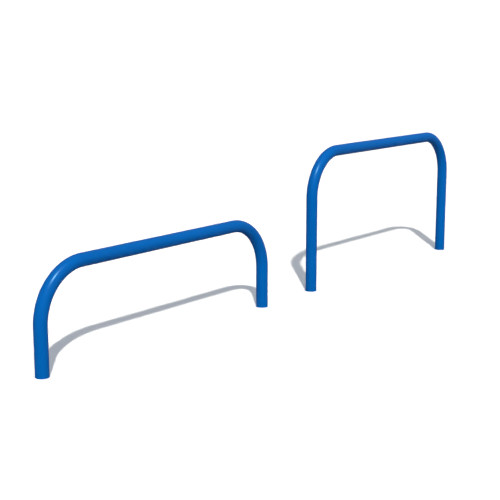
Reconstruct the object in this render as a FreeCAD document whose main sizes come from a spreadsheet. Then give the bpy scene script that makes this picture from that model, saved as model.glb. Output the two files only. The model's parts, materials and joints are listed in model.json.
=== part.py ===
import FreeCAD, Part
import math
import os
import Sketcher

# A set of two parallette bars for an outdoor exercise ground, a low bar and a high bar in one line.
# Each bar is one bent steel tube. Its two legs stand in the sockets of base flanges and are welded in
# all round. The flanges are bolted down on a slab that lies under the soft surfacing of the ground.
# Frame: +X runs along the bars from the low one to the high one, and +Z is up. The origin lies on
# the slab, midway between the outermost legs. All sizes are in millimetres.

SIZES = {
    # bars, measured on the tube's centreline
    "low_span": 1000.0,  # between the leg axes of the low bar
    "high_span": 1000.0,  # between the leg axes of the high bar
    "low_height": 300.0,  # low bar above the finished ground
    "high_height": 500.0,  # high bar above the finished ground
    "bar_gap": 300.0,  # between the leg axes where the two bars face each other
    "bend_radius": 160.0,
    "tube_diameter": 40.0,
    "tube_wall": 3.0,
    "tube_setback": 2.0,  # tube end above the slab
    "ground_depth": 60.0,  # slab below the finished ground
    # base flanges
    "flange_side": 120.0,
    "flange_thickness": 8.0,
    "flange_corner": 12.0,  # radius of the plate's corners
    "flange_bevel": 1.0,  # broken upper edge
    "anchor_hole": 14.0,  # diameter, for M12 anchors
    "anchor_spacing": 84.0,
    "socket_clearance": 0.25,  # all round, between the tube and its socket
    # fillet welds
    "weld_leg": 5.0,
    "weld_crown": 0.6,  # bulge of the weld's face
}

# The row of bars is centred on the origin, and each leg stands half a span from its bar's centre.
ROW_LENGTH = "(sizes.low_span + sizes.bar_gap + sizes.high_span)"
BAR_CENTRES = {
    "low": f"(sizes.low_span - {ROW_LENGTH}) / 2",
    "high": f"({ROW_LENGTH} - sizes.high_span) / 2",
}
LEG_SIDES = {"left": "-", "right": "+"}
ANCHORS_PER_FLANGE = 4
FULL_TURN = 360

# Sketcher counts the points of a line, arc or circle up from 1, and a sketch's own axes down from -1.
START, END, CENTRE = range(1, 4)
H_AXIS, V_AXIS = range(-1, -3, -1)
ORIGIN = (H_AXIS, START)
UP = FreeCAD.Vector(0, 0, 1)


def point(x, y):
    return FreeCAD.Vector(x, y, 0)


def fill_sheet(doc):
    sheet = doc.addObject("Spreadsheet::Sheet", "sizes")
    for row, (name, value) in enumerate(SIZES.items(), start=1):
        sheet.set(f"A{row}", name)
        sheet.set(f"B{row}", str(value))
        sheet.setAlias(f"B{row}", name)
    doc.recompute()


def new_body(doc, label, x_expression):
    body = doc.addObject("PartDesign::Body", label)
    body.Label = label
    body.setExpression("Placement.Base.x", x_expression)
    return body


def origin_feature(body, role):
    return next(feature for feature in body.Origin.OriginFeatures if feature.Role == role)


def new_sketch(body, name, plane):
    sketch = body.newObject("Sketcher::SketchObject", f"{body.Label}_{name}")
    sketch.AttachmentSupport = (origin_feature(body, plane), "")
    sketch.MapMode = "FlatFace"
    return sketch


def new_feature(body, kind, name):
    return body.newObject(f"PartDesign::{kind}", f"{body.Label}_{name}")


def relate(sketch, *constraint):
    return sketch.addConstraint(Sketcher.Constraint(*constraint))


def dimension(sketch, name, expression, *constraint):
    # a named dimension, tied to the sheet
    sketch.renameConstraint(relate(sketch, *constraint), name)
    sketch.setExpression(f"Constraints.{name}", expression)


def add_line(sketch, start, end):
    return sketch.addGeometry(Part.LineSegment(start, end))


def add_arc(sketch, centre, radius, first_angle, last_angle):
    return sketch.addGeometry(Part.ArcOfCircle(Part.Circle(centre, UP, radius), first_angle, last_angle))


def add_circle(sketch, centre, name, diameter, expression):
    circle = sketch.addGeometry(Part.Circle(centre, UP, diameter / 2))
    dimension(sketch, name, expression, "Diameter", circle, diameter)
    return circle


def edges_where(feature, test):
    return [f"Edge{n}" for n, edge in enumerate(feature.Shape.Edges, start=1) if test(edge)]


def expect_less(after, before):
    if after.Shape.Volume >= before.Shape.Volume:
        raise RuntimeError(f"{after.Label} removes nothing")


def build_bar(doc, name):
    reach = SIZES[f"{name}_span"] / 2  # from the bar's middle to a leg's axis
    top = SIZES["ground_depth"] + SIZES[f"{name}_height"]
    radius = SIZES["bend_radius"]
    foot = SIZES["tube_setback"]
    spring = top - radius  # where the bends start
    grip_end = reach - radius  # where the straight grip ends
    body = new_body(doc, f"{name}_bar_tube", BAR_CENTRES[name])

    # centreline, from the left foot over the grip to the right foot
    path = new_sketch(body, "centreline", "XZ_Plane")
    left_leg = add_line(path, point(-reach, foot), point(-reach, spring))
    left_bend = add_arc(path, point(-grip_end, spring), radius, math.pi / 2, math.pi)
    grip = add_line(path, point(-grip_end, top), point(grip_end, top))
    right_bend = add_arc(path, point(grip_end, spring), radius, 0, math.pi / 2)
    right_leg = add_line(path, point(reach, spring), point(reach, foot))
    relate(path, "Tangent", left_leg, END, left_bend, END)
    relate(path, "Tangent", left_bend, START, grip, START)
    relate(path, "Tangent", grip, END, right_bend, END)
    relate(path, "Tangent", right_bend, START, right_leg, START)
    relate(path, "Vertical", left_leg)
    relate(path, "Vertical", right_leg)
    relate(path, "Horizontal", grip)
    relate(path, "Equal", left_bend, right_bend)
    relate(path, "Symmetric", left_leg, START, right_leg, END, V_AXIS)
    dimension(path, "bend", "sizes.bend_radius", "Radius", left_bend, radius)
    dimension(path, "span", f"sizes.{name}_span", "DistanceX", left_leg, START, right_leg, END, 2 * reach)
    dimension(path, "foot", "sizes.tube_setback", "DistanceY", *ORIGIN, left_leg, START, foot)
    top_expression = f"sizes.ground_depth + sizes.{name}_height"
    dimension(path, "top", top_expression, "DistanceY", *ORIGIN, grip, START, top)

    # tube section, at the left foot
    outer = SIZES["tube_diameter"]
    bore = outer - 2 * SIZES["tube_wall"]
    section = new_sketch(body, "section", "XY_Plane")
    section.setExpression("AttachmentOffset.Base.z", "sizes.tube_setback")
    outside = add_circle(section, point(-reach, 0), "outside", outer, "sizes.tube_diameter")
    bore_expression = "sizes.tube_diameter - 2 * sizes.tube_wall"
    inside = add_circle(section, point(-reach, 0), "inside", bore, bore_expression)
    relate(section, "PointOnObject", outside, CENTRE, H_AXIS)
    relate(section, "Coincident", inside, CENTRE, outside, CENTRE)
    dimension(section, "reach", f"sizes.{name}_span / 2", "DistanceX", outside, CENTRE, *ORIGIN, reach)

    tube = new_feature(body, "AdditivePipe", "bent_tube")
    tube.Profile = section
    tube.Spine = (path, [""])
    doc.recompute()
    section_area = math.pi * (outer**2 - bore**2) / 4
    if not math.isclose(body.Shape.Volume, section_area * path.Shape.Length, rel_tol=1e-6):
        raise RuntimeError(f"{body.Label} isn't its section times its length")
    return body


def build_flange(doc, label, x_expression):
    body = new_body(doc, label, x_expression)

    # square plate, lying on the slab
    half = SIZES["flange_side"] / 2
    corners = [point(-half, -half), point(half, -half), point(half, half), point(-half, half)]
    outline = new_sketch(body, "outline", "XY_Plane")
    sides = [add_line(outline, corners[n - 1], corners[n]) for n in range(len(corners))]
    for n, side in enumerate(sides):
        relate(outline, "Coincident", sides[n - 1], END, side, START)
        relate(outline, "Horizontal" if n % 2 else "Vertical", side)
    relate(outline, "Symmetric", sides[0], START, sides[2], START, *ORIGIN)
    dimension(outline, "depth", "sizes.flange_side", "DistanceY", sides[0], END, sides[0], START, 2 * half)
    dimension(outline, "width", "sizes.flange_side", "DistanceX", sides[1], START, sides[1], END, 2 * half)
    plate = new_feature(body, "Pad", "plate")
    plate.Profile = outline
    plate.setExpression("Length", "sizes.flange_thickness")
    doc.recompute()

    # rounded corners, and a broken edge all round the upper face
    rounding = new_feature(body, "Fillet", "corners")
    rounding.Base = (plate, edges_where(plate, lambda edge: edge.BoundBox.ZLength > edge.Length / 2))
    rounding.setExpression("Radius", "sizes.flange_corner")
    doc.recompute()
    bevel = new_feature(body, "Chamfer", "upper_edge")
    middle = SIZES["flange_thickness"] / 2
    bevel.Base = (rounding, edges_where(rounding, lambda edge: edge.BoundBox.ZMin > middle))
    bevel.setExpression("Size", "sizes.flange_bevel")
    doc.recompute()

    # socket for the leg, and the anchor holes, all cut down from the upper face
    socket_diameter = SIZES["tube_diameter"] + 2 * SIZES["socket_clearance"]
    socket_outline = new_sketch(body, "socket_outline", "XY_Plane")
    socket_outline.setExpression("AttachmentOffset.Base.z", "sizes.flange_thickness")
    socket_expression = "sizes.tube_diameter + 2 * sizes.socket_clearance"
    rim = add_circle(socket_outline, point(0, 0), "rim", socket_diameter, socket_expression)
    relate(socket_outline, "Coincident", rim, CENTRE, *ORIGIN)
    socket = new_feature(body, "Pocket", "socket")
    socket.Profile = socket_outline
    socket.Type = "ThroughAll"
    doc.recompute()
    expect_less(socket, bevel)

    offset = SIZES["anchor_spacing"] / 2
    hole_outline = new_sketch(body, "anchor_hole_outline", "XY_Plane")
    hole_outline.setExpression("AttachmentOffset.Base.z", "sizes.flange_thickness")
    mark = add_circle(hole_outline, point(offset, offset), "mark", SIZES["anchor_hole"], "sizes.anchor_hole")
    half_spacing = "sizes.anchor_spacing / 2"
    dimension(hole_outline, "along", half_spacing, "DistanceX", *ORIGIN, mark, CENTRE, offset)
    dimension(hole_outline, "across", half_spacing, "DistanceY", *ORIGIN, mark, CENTRE, offset)
    hole = new_feature(body, "Hole", "anchor_hole")
    hole.Profile = hole_outline
    doc.recompute()
    hole.DepthType = "ThroughAll"
    hole.setExpression("Diameter", "sizes.anchor_hole")
    doc.recompute()
    expect_less(hole, socket)
    holes = new_feature(body, "PolarPattern", "anchor_holes")
    holes.Originals = [hole]
    holes.Axis = (origin_feature(body, "Z_Axis"), [""])
    holes.Angle = FULL_TURN
    holes.Occurrences = ANCHORS_PER_FLANGE
    body.Tip = holes
    doc.recompute()
    expect_less(holes, hole)
    return body


def build_weld(doc, label, x_expression):
    root = SIZES["tube_diameter"] / 2
    floor = SIZES["flange_thickness"]
    leg = SIZES["weld_leg"]
    crown = SIZES["weld_crown"]
    face_radius = (leg**2 / 2 + crown**2) / (2 * crown)  # of the bulging face, from its chord and its rise
    body = new_body(doc, label, x_expression)

    section = new_sketch(body, "section", "XZ_Plane")
    on_plate = add_line(section, point(root, floor), point(root + leg, floor))
    on_tube = add_line(section, point(root, floor), point(root, floor + leg))
    bulge = point(root + leg / 2, floor + leg / 2) + point(crown, crown) / math.sqrt(2)
    face = section.addGeometry(Part.Arc(point(root + leg, floor), bulge, point(root, floor + leg)))
    relate(section, "Coincident", on_plate, START, on_tube, START)
    relate(section, "Coincident", face, START, on_plate, END)
    relate(section, "Coincident", face, END, on_tube, END)
    relate(section, "Horizontal", on_plate)
    relate(section, "Vertical", on_tube)
    relate(section, "Equal", on_plate, on_tube)
    dimension(section, "root", "sizes.tube_diameter / 2", "DistanceX", *ORIGIN, on_plate, START, root)
    dimension(section, "floor", "sizes.flange_thickness", "DistanceY", *ORIGIN, on_plate, START, floor)
    dimension(section, "leg", "sizes.weld_leg", "DistanceX", on_plate, START, on_plate, END, leg)
    face_expression = "(sizes.weld_leg^2 / 2 + sizes.weld_crown^2) / (2 * sizes.weld_crown)"
    dimension(section, "face", face_expression, "Radius", face, face_radius)
    bead = new_feature(body, "Revolution", "bead")
    bead.Profile = section
    bead.ReferenceAxis = (section, ["V_Axis"])
    bead.Angle = FULL_TURN
    doc.recompute()
    return body


def check_document(doc, bodies):
    for item in doc.Objects:
        if {"Invalid", "Error"} & set(item.State):
            raise RuntimeError(f"{item.Label} failed")
    for body in bodies:
        if body.Shape.isNull() or not body.Shape.isValid() or len(body.Shape.Solids) != 1:
            raise RuntimeError(f"{body.Label} isn't one valid solid")


def main():
    doc = FreeCAD.newDocument("parallette_bars")
    fill_sheet(doc)
    bodies = []
    for bar, centre in BAR_CENTRES.items():
        bodies.append(build_bar(doc, bar))
        for side, sign in LEG_SIDES.items():
            leg_axis = f"{centre} {sign} sizes.{bar}_span / 2"
            bodies.append(build_flange(doc, f"{bar}_{side}_flange", leg_axis))
            bodies.append(build_weld(doc, f"{bar}_{side}_weld", leg_axis))
    doc.recompute()
    check_document(doc, bodies)

    os.makedirs("parts", exist_ok=True)
    for body in bodies:
        body.Shape.exportStep(os.path.join("parts", f"{body.Label}.step"))
        print(f"{body.Label}: {body.Shape.Volume:.0f} mm3")


main()
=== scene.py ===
import json
import math
import bmesh
import bpy
from mathutils import Matrix, Vector


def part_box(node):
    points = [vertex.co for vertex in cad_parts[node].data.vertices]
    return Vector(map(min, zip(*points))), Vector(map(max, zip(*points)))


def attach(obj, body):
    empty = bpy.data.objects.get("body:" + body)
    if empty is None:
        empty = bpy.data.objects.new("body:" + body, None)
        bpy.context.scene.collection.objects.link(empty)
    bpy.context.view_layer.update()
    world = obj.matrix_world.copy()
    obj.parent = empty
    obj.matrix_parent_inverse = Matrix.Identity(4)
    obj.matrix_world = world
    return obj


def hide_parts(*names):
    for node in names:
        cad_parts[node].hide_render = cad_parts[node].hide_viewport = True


# a low and a high parallette bar of bent blue tube, standing in one line on open ground
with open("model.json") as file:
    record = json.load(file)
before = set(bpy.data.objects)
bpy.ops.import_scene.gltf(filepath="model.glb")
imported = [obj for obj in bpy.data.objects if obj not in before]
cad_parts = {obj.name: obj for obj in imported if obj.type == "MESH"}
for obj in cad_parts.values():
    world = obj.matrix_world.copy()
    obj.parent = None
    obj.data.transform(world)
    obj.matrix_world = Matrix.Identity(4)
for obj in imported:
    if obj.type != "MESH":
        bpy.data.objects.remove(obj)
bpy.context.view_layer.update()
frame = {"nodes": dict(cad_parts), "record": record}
mounts = {mount["name"]: mount for mount in frame["record"]["mounts"]}
bars = ("low", "high")
sides = ("left", "right")
millimetre = 0.001
print("frame loaded:", len(frame["nodes"]), "nodes")


# shader maths: an expression on shades and numbers adds Math nodes, node() adds any other node
class Shade:
    def __init__(self, tree, socket=None):
        self.tree = tree
        self.socket = socket

    def feed(self, target, value):
        if isinstance(value, Shade):
            self.tree.links.new(value.socket, target)
        else:
            target.default_value = value

    def node(self, kind, settings=None, inputs=None, output=0):
        made = self.tree.nodes.new(kind)
        for name, value in (settings or {}).items():
            setattr(made, name, value)
        for name, value in (inputs or {}).items():
            self.feed(made.inputs[name], value)
        return Shade(self.tree, made.outputs[output])

    def maths(self, operation, first, second):
        return self.node("ShaderNodeMath", {"operation": operation}, {0: first, 1: second})

    def __add__(self, other):
        return self.maths("ADD", self, other)

    def __sub__(self, other):
        return self.maths("SUBTRACT", self, other)

    def __rsub__(self, other):
        return self.maths("SUBTRACT", other, self)

    def __mul__(self, other):
        return self.maths("MULTIPLY", self, other)

    __radd__ = __add__
    __rmul__ = __mul__

    def mix(self, first, second):  # from the first colour to the second by this shade
        factor, colorA, colorB, result = 0, 6, 7, 2  # where a Mix node keeps its colour sockets
        inputs = {factor: self, colorA: first, colorB: second}
        return self.node("ShaderNodeMix", {"data_type": "RGBA"}, inputs, result)


# blue powder coat on galvanised steel
coat = {
    "deepBlue": (0.0, 0.108, 0.415, 1),
    "brightBlue": (0.0, 0.137, 0.520, 1),
    "cloudsPerMetre": 7,  # slow drift of the tone
    "cloudsDetail": 3,
    "grainsPerMetre": 900,  # pigment grain
    "grainsDetail": 1,
    "grainShare": 0.25,
    "noiseMiddle": 0.5,  # what a noise texture averages
    "peelPerMetre": 330,  # orange peel of the flowed powder
    "peelDetail": 1.5,
    "gloss": 0.12,  # share of a full clear coat, so that grazing rims stay blue
    "glossDrift": 0.04,
    "glossRoughness": 0.30,
    "pigmentSpecular": 0,  # only the clear coat shines
    "pigmentRoughness": 0.55,
    "roughnessDrift": 0.20,
    "dullZinc": (0.50, 0.52, 0.54, 1),
    "brightZinc": (0.64, 0.66, 0.68, 1),
    "spanglesPerMetre": 150,  # crystals of the bare zinc
    "zincRoughness": 0.42,
    "wearPerMetre": 420,
    "wearDetail": 4,
    "wearEdge": (0.45, 0.55),  # where coat turns to zinc
}


def powderCoat(name, peelDepth, wearReach):
    material = bpy.data.materials.new(name)
    material.use_nodes = True
    tree = material.node_tree
    shader = tree.nodes["Principled BSDF"]
    new = Shade(tree)
    place = new.node("ShaderNodeTexCoord", output="Object")

    def noise(layer):
        inputs = {"Vector": place, "Scale": coat[layer + "PerMetre"], "Detail": coat[layer + "Detail"]}
        return new.node("ShaderNodeTexNoise", None, inputs)

    tone = noise("clouds") * (1 - coat["grainShare"]) + noise("grains") * coat["grainShare"]
    blue = tone.mix(coat["deepBlue"], coat["brightBlue"])

    # zinc shows where no powder reached, and in specks on worn edges
    bare = new.node("ShaderNodeAttribute", {"attribute_name": "bareSteel"}, None, "Fac")
    worn = bare + (noise("wear") - coat["noiseMiddle"]) * wearReach
    start, end = coat["wearEdge"]
    zincMask = new.node("ShaderNodeMapRange", None, {"Value": worn, "From Min": start, "From Max": end})
    cells = {"Vector": place, "Scale": coat["spanglesPerMetre"]}
    crystals = new.node("ShaderNodeTexVoronoi", None, cells, "Color")
    spangle = new.node("ShaderNodeSeparateColor", None, {"Color": crystals})
    zinc = spangle.mix(coat["dullZinc"], coat["brightZinc"])

    powder = 1 - zincMask
    drift = tone - coat["noiseMiddle"]
    roughness = coat["pigmentRoughness"] + coat["roughnessDrift"] * drift
    gloss = coat["gloss"] - coat["glossDrift"] * drift
    new.feed(shader.inputs["Base Color"], zincMask.mix(blue, zinc))
    new.feed(shader.inputs["Metallic"], zincMask)
    new.feed(shader.inputs["Roughness"], powder * roughness + zincMask * coat["zincRoughness"])
    new.feed(shader.inputs["Coat Weight"], powder * gloss)
    shader.inputs["Coat Roughness"].default_value = coat["glossRoughness"]
    shader.inputs["Specular IOR Level"].default_value = coat["pigmentSpecular"]
    peel = new.node("ShaderNodeBump", None, {"Distance": peelDepth, "Height": noise("peel")})
    new.feed(shader.inputs["Normal"], peel)
    return material


tubeCoat = powderCoat("tubePowderCoat", peelDepth=0.0005, wearReach=0.2)
flangeCoat = powderCoat("flangePowderCoat", peelDepth=0.0005, wearReach=0.8)
weldCoat = powderCoat("weldPowderCoat", peelDepth=0.00018, wearReach=0.3)
print("materials: blue powder coat for tubes, flanges and welds")


def addObject(name, data):
    made = bpy.data.objects.new(name, data)
    bpy.context.scene.collection.objects.link(made)
    return made


def addMesh(bm, name, material):
    mesh = bpy.data.meshes.new(name)
    bm.to_mesh(mesh)
    bm.free()
    mesh.materials.append(material)
    return addObject(name, mesh)


def addPiece(bm, node, material, sharpAngle):
    piece = addMesh(bm, node + "_coated", material)
    for face in piece.data.polygons:
        face.use_smooth = True
    piece.data.set_sharp_from_angle(angle=math.radians(sharpAngle))
    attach(piece, "root")
    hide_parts(node)


def only(kind, geometry):
    return [item for item in geometry if isinstance(item, kind)]


def sharpEdges(bm, sharpAngle):
    return [edge for edge in bm.edges if edge.calc_face_angle(0) > math.radians(sharpAngle)]


def roundOff(bm, geometry, radius, steps, affect):
    return bmesh.ops.bevel(bm, geom=geometry, offset=radius, offset_type="OFFSET", segments=steps,
                           profile=0.5, affect=affect, material=-1)


def legX(leg):
    return mounts[leg + "_anchors"]["pos_m"][0]


# bent tube: one ring swept up a leg, round a bend, along the grip and down again
tube = {
    "bendRadius": 0.160,  # to the middle of the tube
    "wall": 0.003,
    "ringSides": 72,
    "bendSteps": 45,
    "legSteps": 4,
    "gripSteps": 8,
    "rimRound": 0.0004,
    "rimSteps": 2,
    "sharpAngle": 25,
}


def stretch(bm, ring, move, steps):
    for _ in range(steps):
        grown = bmesh.ops.extrude_edge_only(bm, edges=ring)["geom"]
        verts = only(bmesh.types.BMVert, grown)
        bmesh.ops.translate(bm, verts=verts, vec=Vector(move) / steps)
        ring = [edge for edge in only(bmesh.types.BMEdge, grown) if set(edge.verts) <= set(verts)]
    return ring


def bend(bm, ring, centre):
    verts = list({vert for edge in ring for vert in edge.verts})
    turned = bmesh.ops.spin(bm, geom=verts + ring, cent=centre, axis=(0, 1, 0), angle=math.pi / 2,
                            steps=tube["bendSteps"], use_duplicate=False)
    return only(bmesh.types.BMEdge, turned["geom_last"])


def makeTube(bar):
    node = bar + "_bar_tube"
    low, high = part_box(node)
    leftLeg, rightLeg = (legX(f"{bar}_{side}") for side in sides)
    radius = leftLeg - low.x
    foot = low.z
    spring = high.z - radius - tube["bendRadius"]  # where the bends start
    gripStart = leftLeg + tube["bendRadius"]
    gripEnd = rightLeg - tube["bendRadius"]

    bm = bmesh.new()
    bareSteel = bm.faces.layers.float.new("bareSteel")
    bmesh.ops.create_circle(bm, segments=tube["ringSides"], radius=radius,
                            matrix=Matrix.Translation((leftLeg, 0, foot)))
    ring = stretch(bm, bm.edges[:], (0, 0, spring - foot), tube["legSteps"])
    ring = bend(bm, ring, (gripStart, 0, spring))
    ring = stretch(bm, ring, (gripEnd - gripStart, 0, 0), tube["gripSteps"])
    ring = bend(bm, ring, (gripEnd, 0, spring))
    stretch(bm, ring, (0, 0, foot - spring), tube["legSteps"])
    bmesh.ops.recalc_face_normals(bm, faces=bm.faces)

    # the wall grows inwards, and no powder reaches the bore
    coated = set(bm.faces)
    bmesh.ops.solidify(bm, geom=bm.faces[:], thickness=tube["wall"])
    for face in bm.faces:
        face[bareSteel] = 0 if face in coated else 1
    roundOff(bm, sharpEdges(bm, tube["sharpAngle"]), tube["rimRound"], tube["rimSteps"], "EDGES")
    addPiece(bm, node, tubeCoat, tube["sharpAngle"])


for bar in bars:
    makeTube(bar)
print("tubes: low bar and high bar")


# base flange: rounded square plate with a socket for the leg and four anchor holes
flange = {
    "cornerRadius": 0.012,
    "cornerSteps": 10,
    "edgeRound": 0.001,
    "edgeSteps": 3,
    "edgeWear": 0.3,
    "socketRadius": 0.02025,
    "socketSides": 72,
    "holeSides": 36,
    "sharpAngle": 40,
}


def makeFlange(leg):
    node = leg + "_flange"
    low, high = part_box(node)
    centre = Vector((legX(leg), 0, low.z))
    anchors = mounts[leg + "_anchors"]["dims"]
    holeRadius = anchors["hole_r_mm"] * millimetre
    along, across = (anchors[spacing] / 2 * millimetre for spacing in ("spacing_x_mm", "spacing_y_mm"))

    # outline with its holes, filled and raised to the plate's thickness
    bm = bmesh.new()
    bareSteel = bm.faces.layers.float.new("bareSteel")
    cornerReach = (high.x - low.x) / math.sqrt(2)
    turned = Matrix.Translation(centre) @ Matrix.Rotation(math.pi / 4, 4, "Z")
    square = bmesh.ops.create_circle(bm, cap_ends=True, segments=4, radius=cornerReach, matrix=turned)
    roundOff(bm, square["verts"], flange["cornerRadius"], flange["cornerSteps"], "VERTICES")
    bmesh.ops.delete(bm, geom=bm.faces[:], context="FACES_ONLY")
    bmesh.ops.create_circle(bm, segments=flange["socketSides"], radius=flange["socketRadius"],
                            matrix=Matrix.Translation(centre))
    for x in (-along, along):
        for y in (-across, across):
            hole = Matrix.Translation(centre + Vector((x, y, 0)))
            bmesh.ops.create_circle(bm, segments=flange["holeSides"], radius=holeRadius, matrix=hole)
    bmesh.ops.triangle_fill(bm, edges=bm.edges[:], use_beauty=True, normal=(0, 0, 1))
    grown = bmesh.ops.extrude_face_region(bm, geom=bm.faces[:])["geom"]
    upper = set(only(bmesh.types.BMVert, grown))
    bmesh.ops.translate(bm, verts=list(upper), vec=(0, 0, high.z - low.z))
    bmesh.ops.recalc_face_normals(bm, faces=bm.faces)

    # the upper edges are broken, and their coat wears first
    rims = [edge for edge in sharpEdges(bm, flange["sharpAngle"]) if set(edge.verts) <= upper]
    rounded = roundOff(bm, rims, flange["edgeRound"], flange["edgeSteps"], "EDGES")
    for face in rounded["faces"]:
        face[bareSteel] = flange["edgeWear"]
    addPiece(bm, node, flangeCoat, flange["sharpAngle"])


# fillet weld: a crowned bead round the leg, laid in small overlapping ripples
weld = {
    "crown": 0.0006,
    "faceSteps": 8,
    "ripples": 54,
    "stepsPerRipple": 6,
    "rippleDepth": 0.0004,
    "rippleLean": 0.35,
    "sharpAngle": 60,
}


def makeWeld(leg):
    node = leg + "_weld"
    low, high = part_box(node)
    axis = Vector((legX(leg), 0, low.z))
    throat = high.z - low.z
    reach = high.x - axis.x

    # three-cornered section spun round the leg
    bm = bmesh.new()
    corners = ((reach - throat, 0, 0), (reach, 0, 0), (reach - throat, 0, throat))
    root, toe, crest = (bm.verts.new(axis + Vector(corner)) for corner in corners)
    slope = bm.edges.new((toe, crest))
    bm.edges.new((crest, root))
    bm.edges.new((root, toe))
    bmesh.ops.subdivide_edges(bm, edges=[slope], cuts=weld["faceSteps"] - 1)
    bmesh.ops.spin(bm, geom=bm.verts[:] + bm.edges[:], cent=axis, axis=(0, 0, 1), angle=math.tau,
                   steps=weld["ripples"] * weld["stepsPerRipple"], use_merge=True, use_duplicate=False)

    # the face swells in its middle, and each ripple sinks from its start to the next one
    for vert in bm.verts:
        arm = (vert.co - axis).to_2d()
        swell = math.sin(math.pi * (vert.co.z - low.z) / throat)
        ripple = math.atan2(arm.y, arm.x) / math.tau * weld["ripples"] + weld["rippleLean"] * swell
        lift = (weld["crown"] - weld["rippleDepth"] * (ripple % 1)) * swell
        outward = Vector((*arm.normalized(), 1)).normalized()
        vert.co += outward * lift
    bmesh.ops.recalc_face_normals(bm, faces=bm.faces)
    addPiece(bm, node, weldCoat, weld["sharpAngle"])


for bar in bars:
    for side in sides:
        makeFlange(f"{bar}_{side}")
        makeWeld(f"{bar}_{side}")
print("feet: four flanges and four welds")


# open ground under a clear sky: white to the eye, with the sun's shadow on it
ground = {
    "height": 0.060,  # top of the surfacing, which hides the flanges
    "halfSize": 40.0,
    "seen": (1.33, 1.33, 1.33, 1),  # white in this light
    "bounce": (0.25, 0.26, 0.28, 1),  # what it throws back on the steel
}
sky = {
    "seen": (1.05, 1.05, 1.05, 1),  # just over white, like the ground
    "ambient": (0.210, 0.230, 0.258, 1),
}
lamps = {
    "sun": {"kind": "SUN", "travel": (0.972, 0.865, -1.0), "angle": 1.5, "power": 2.76,
            "color": (1.0, 0.945, 0.87), "diffuse": True, "glossy": False},
    "softFront": {"kind": "SUN", "travel": (0.0, 0.92, -0.39), "angle": 100, "power": 0.66,
                  "color": (0.95, 0.98, 1.0), "diffuse": True, "glossy": False},
    "backFill": {"kind": "SUN", "travel": (-0.5, -0.866, -0.01), "angle": 1, "power": 1.3,
                 "color": (0.95, 0.98, 1.0), "diffuse": True, "glossy": False},  # skims the ground
    "glint": {"kind": "POINT", "place": (-2.84, -2.73, 5.77), "radius": 0.17, "power": 8100,
              "color": (0.38, 0.80, 1.0), "diffuse": False, "glossy": True},  # only the streak on the bends
}


def seenDirectly(new):  # camera, glossy and transmission rays
    rays = ("Is Camera Ray", "Is Glossy Ray", "Is Transmission Ray")
    camera, glossy, through = (new.node("ShaderNodeLightPath", output=ray) for ray in rays)
    return camera + glossy + through


def makeGround():
    material = bpy.data.materials.new("whiteGround")
    material.use_nodes = True
    tree = material.node_tree
    tree.nodes.remove(tree.nodes["Principled BSDF"])
    new = Shade(tree)
    color = seenDirectly(new).mix(ground["bounce"], ground["seen"])
    new.feed(tree.nodes["Material Output"].inputs["Surface"],
             new.node("ShaderNodeBsdfDiffuse", None, {"Color": color}))
    bm = bmesh.new()
    bmesh.ops.create_grid(bm, x_segments=1, y_segments=1, size=ground["halfSize"],
                          matrix=Matrix.Translation((0, 0, ground["height"])))
    addMesh(bm, "ground", material)


def makeSky():
    world = bpy.data.worlds.new("openSky")
    world.use_nodes = True
    bpy.context.scene.world = world
    new = Shade(world.node_tree)
    color = seenDirectly(new).mix(sky["ambient"], sky["seen"])
    new.feed(world.node_tree.nodes["Background"].inputs["Color"], color)


def makeLamp(name):
    settings = lamps[name]
    light = bpy.data.lights.new(name, settings["kind"])
    light.energy = settings["power"]
    light.color = settings["color"]
    lamp = addObject(name, light)
    if settings["kind"] == "SUN":
        light.angle = math.radians(settings["angle"])
        lamp.rotation_euler = Vector(settings["travel"]).to_track_quat("-Z", "Y").to_euler()
    else:
        light.shadow_soft_size = settings["radius"]
        lamp.location = settings["place"]
    lamp.visible_diffuse = settings["diffuse"]
    lamp.visible_glossy = settings["glossy"]


makeGround()
makeSky()
for lampName in lamps:
    makeLamp(lampName)
print("ground, sky and lamps")


# camera at the photograph's place
picture = {
    "azimuth": -52.735,
    "elevation": 11.0,
    "distance": 3.645,
    "target": (-0.2174, 0.0, 0.2679),
    "lens": 78.29,
    "sensor": 36.0,
}


def makeCamera():
    turn = math.radians(picture["azimuth"])
    lift = math.radians(picture["elevation"])
    back = Vector((math.sin(turn) * math.cos(lift), -math.cos(turn) * math.cos(lift), math.sin(lift)))
    lens = bpy.data.cameras.new("camera")
    lens.lens = picture["lens"]
    lens.sensor_width = picture["sensor"]
    camera = addObject("camera", lens)
    camera.location = Vector(picture["target"]) + back * picture["distance"]
    camera.rotation_euler = (-back).to_track_quat("-Z", "Y").to_euler()
    bpy.context.scene.camera = camera


makeCamera()
bpy.context.scene.view_settings.view_transform = "Standard"
print("camera in place")
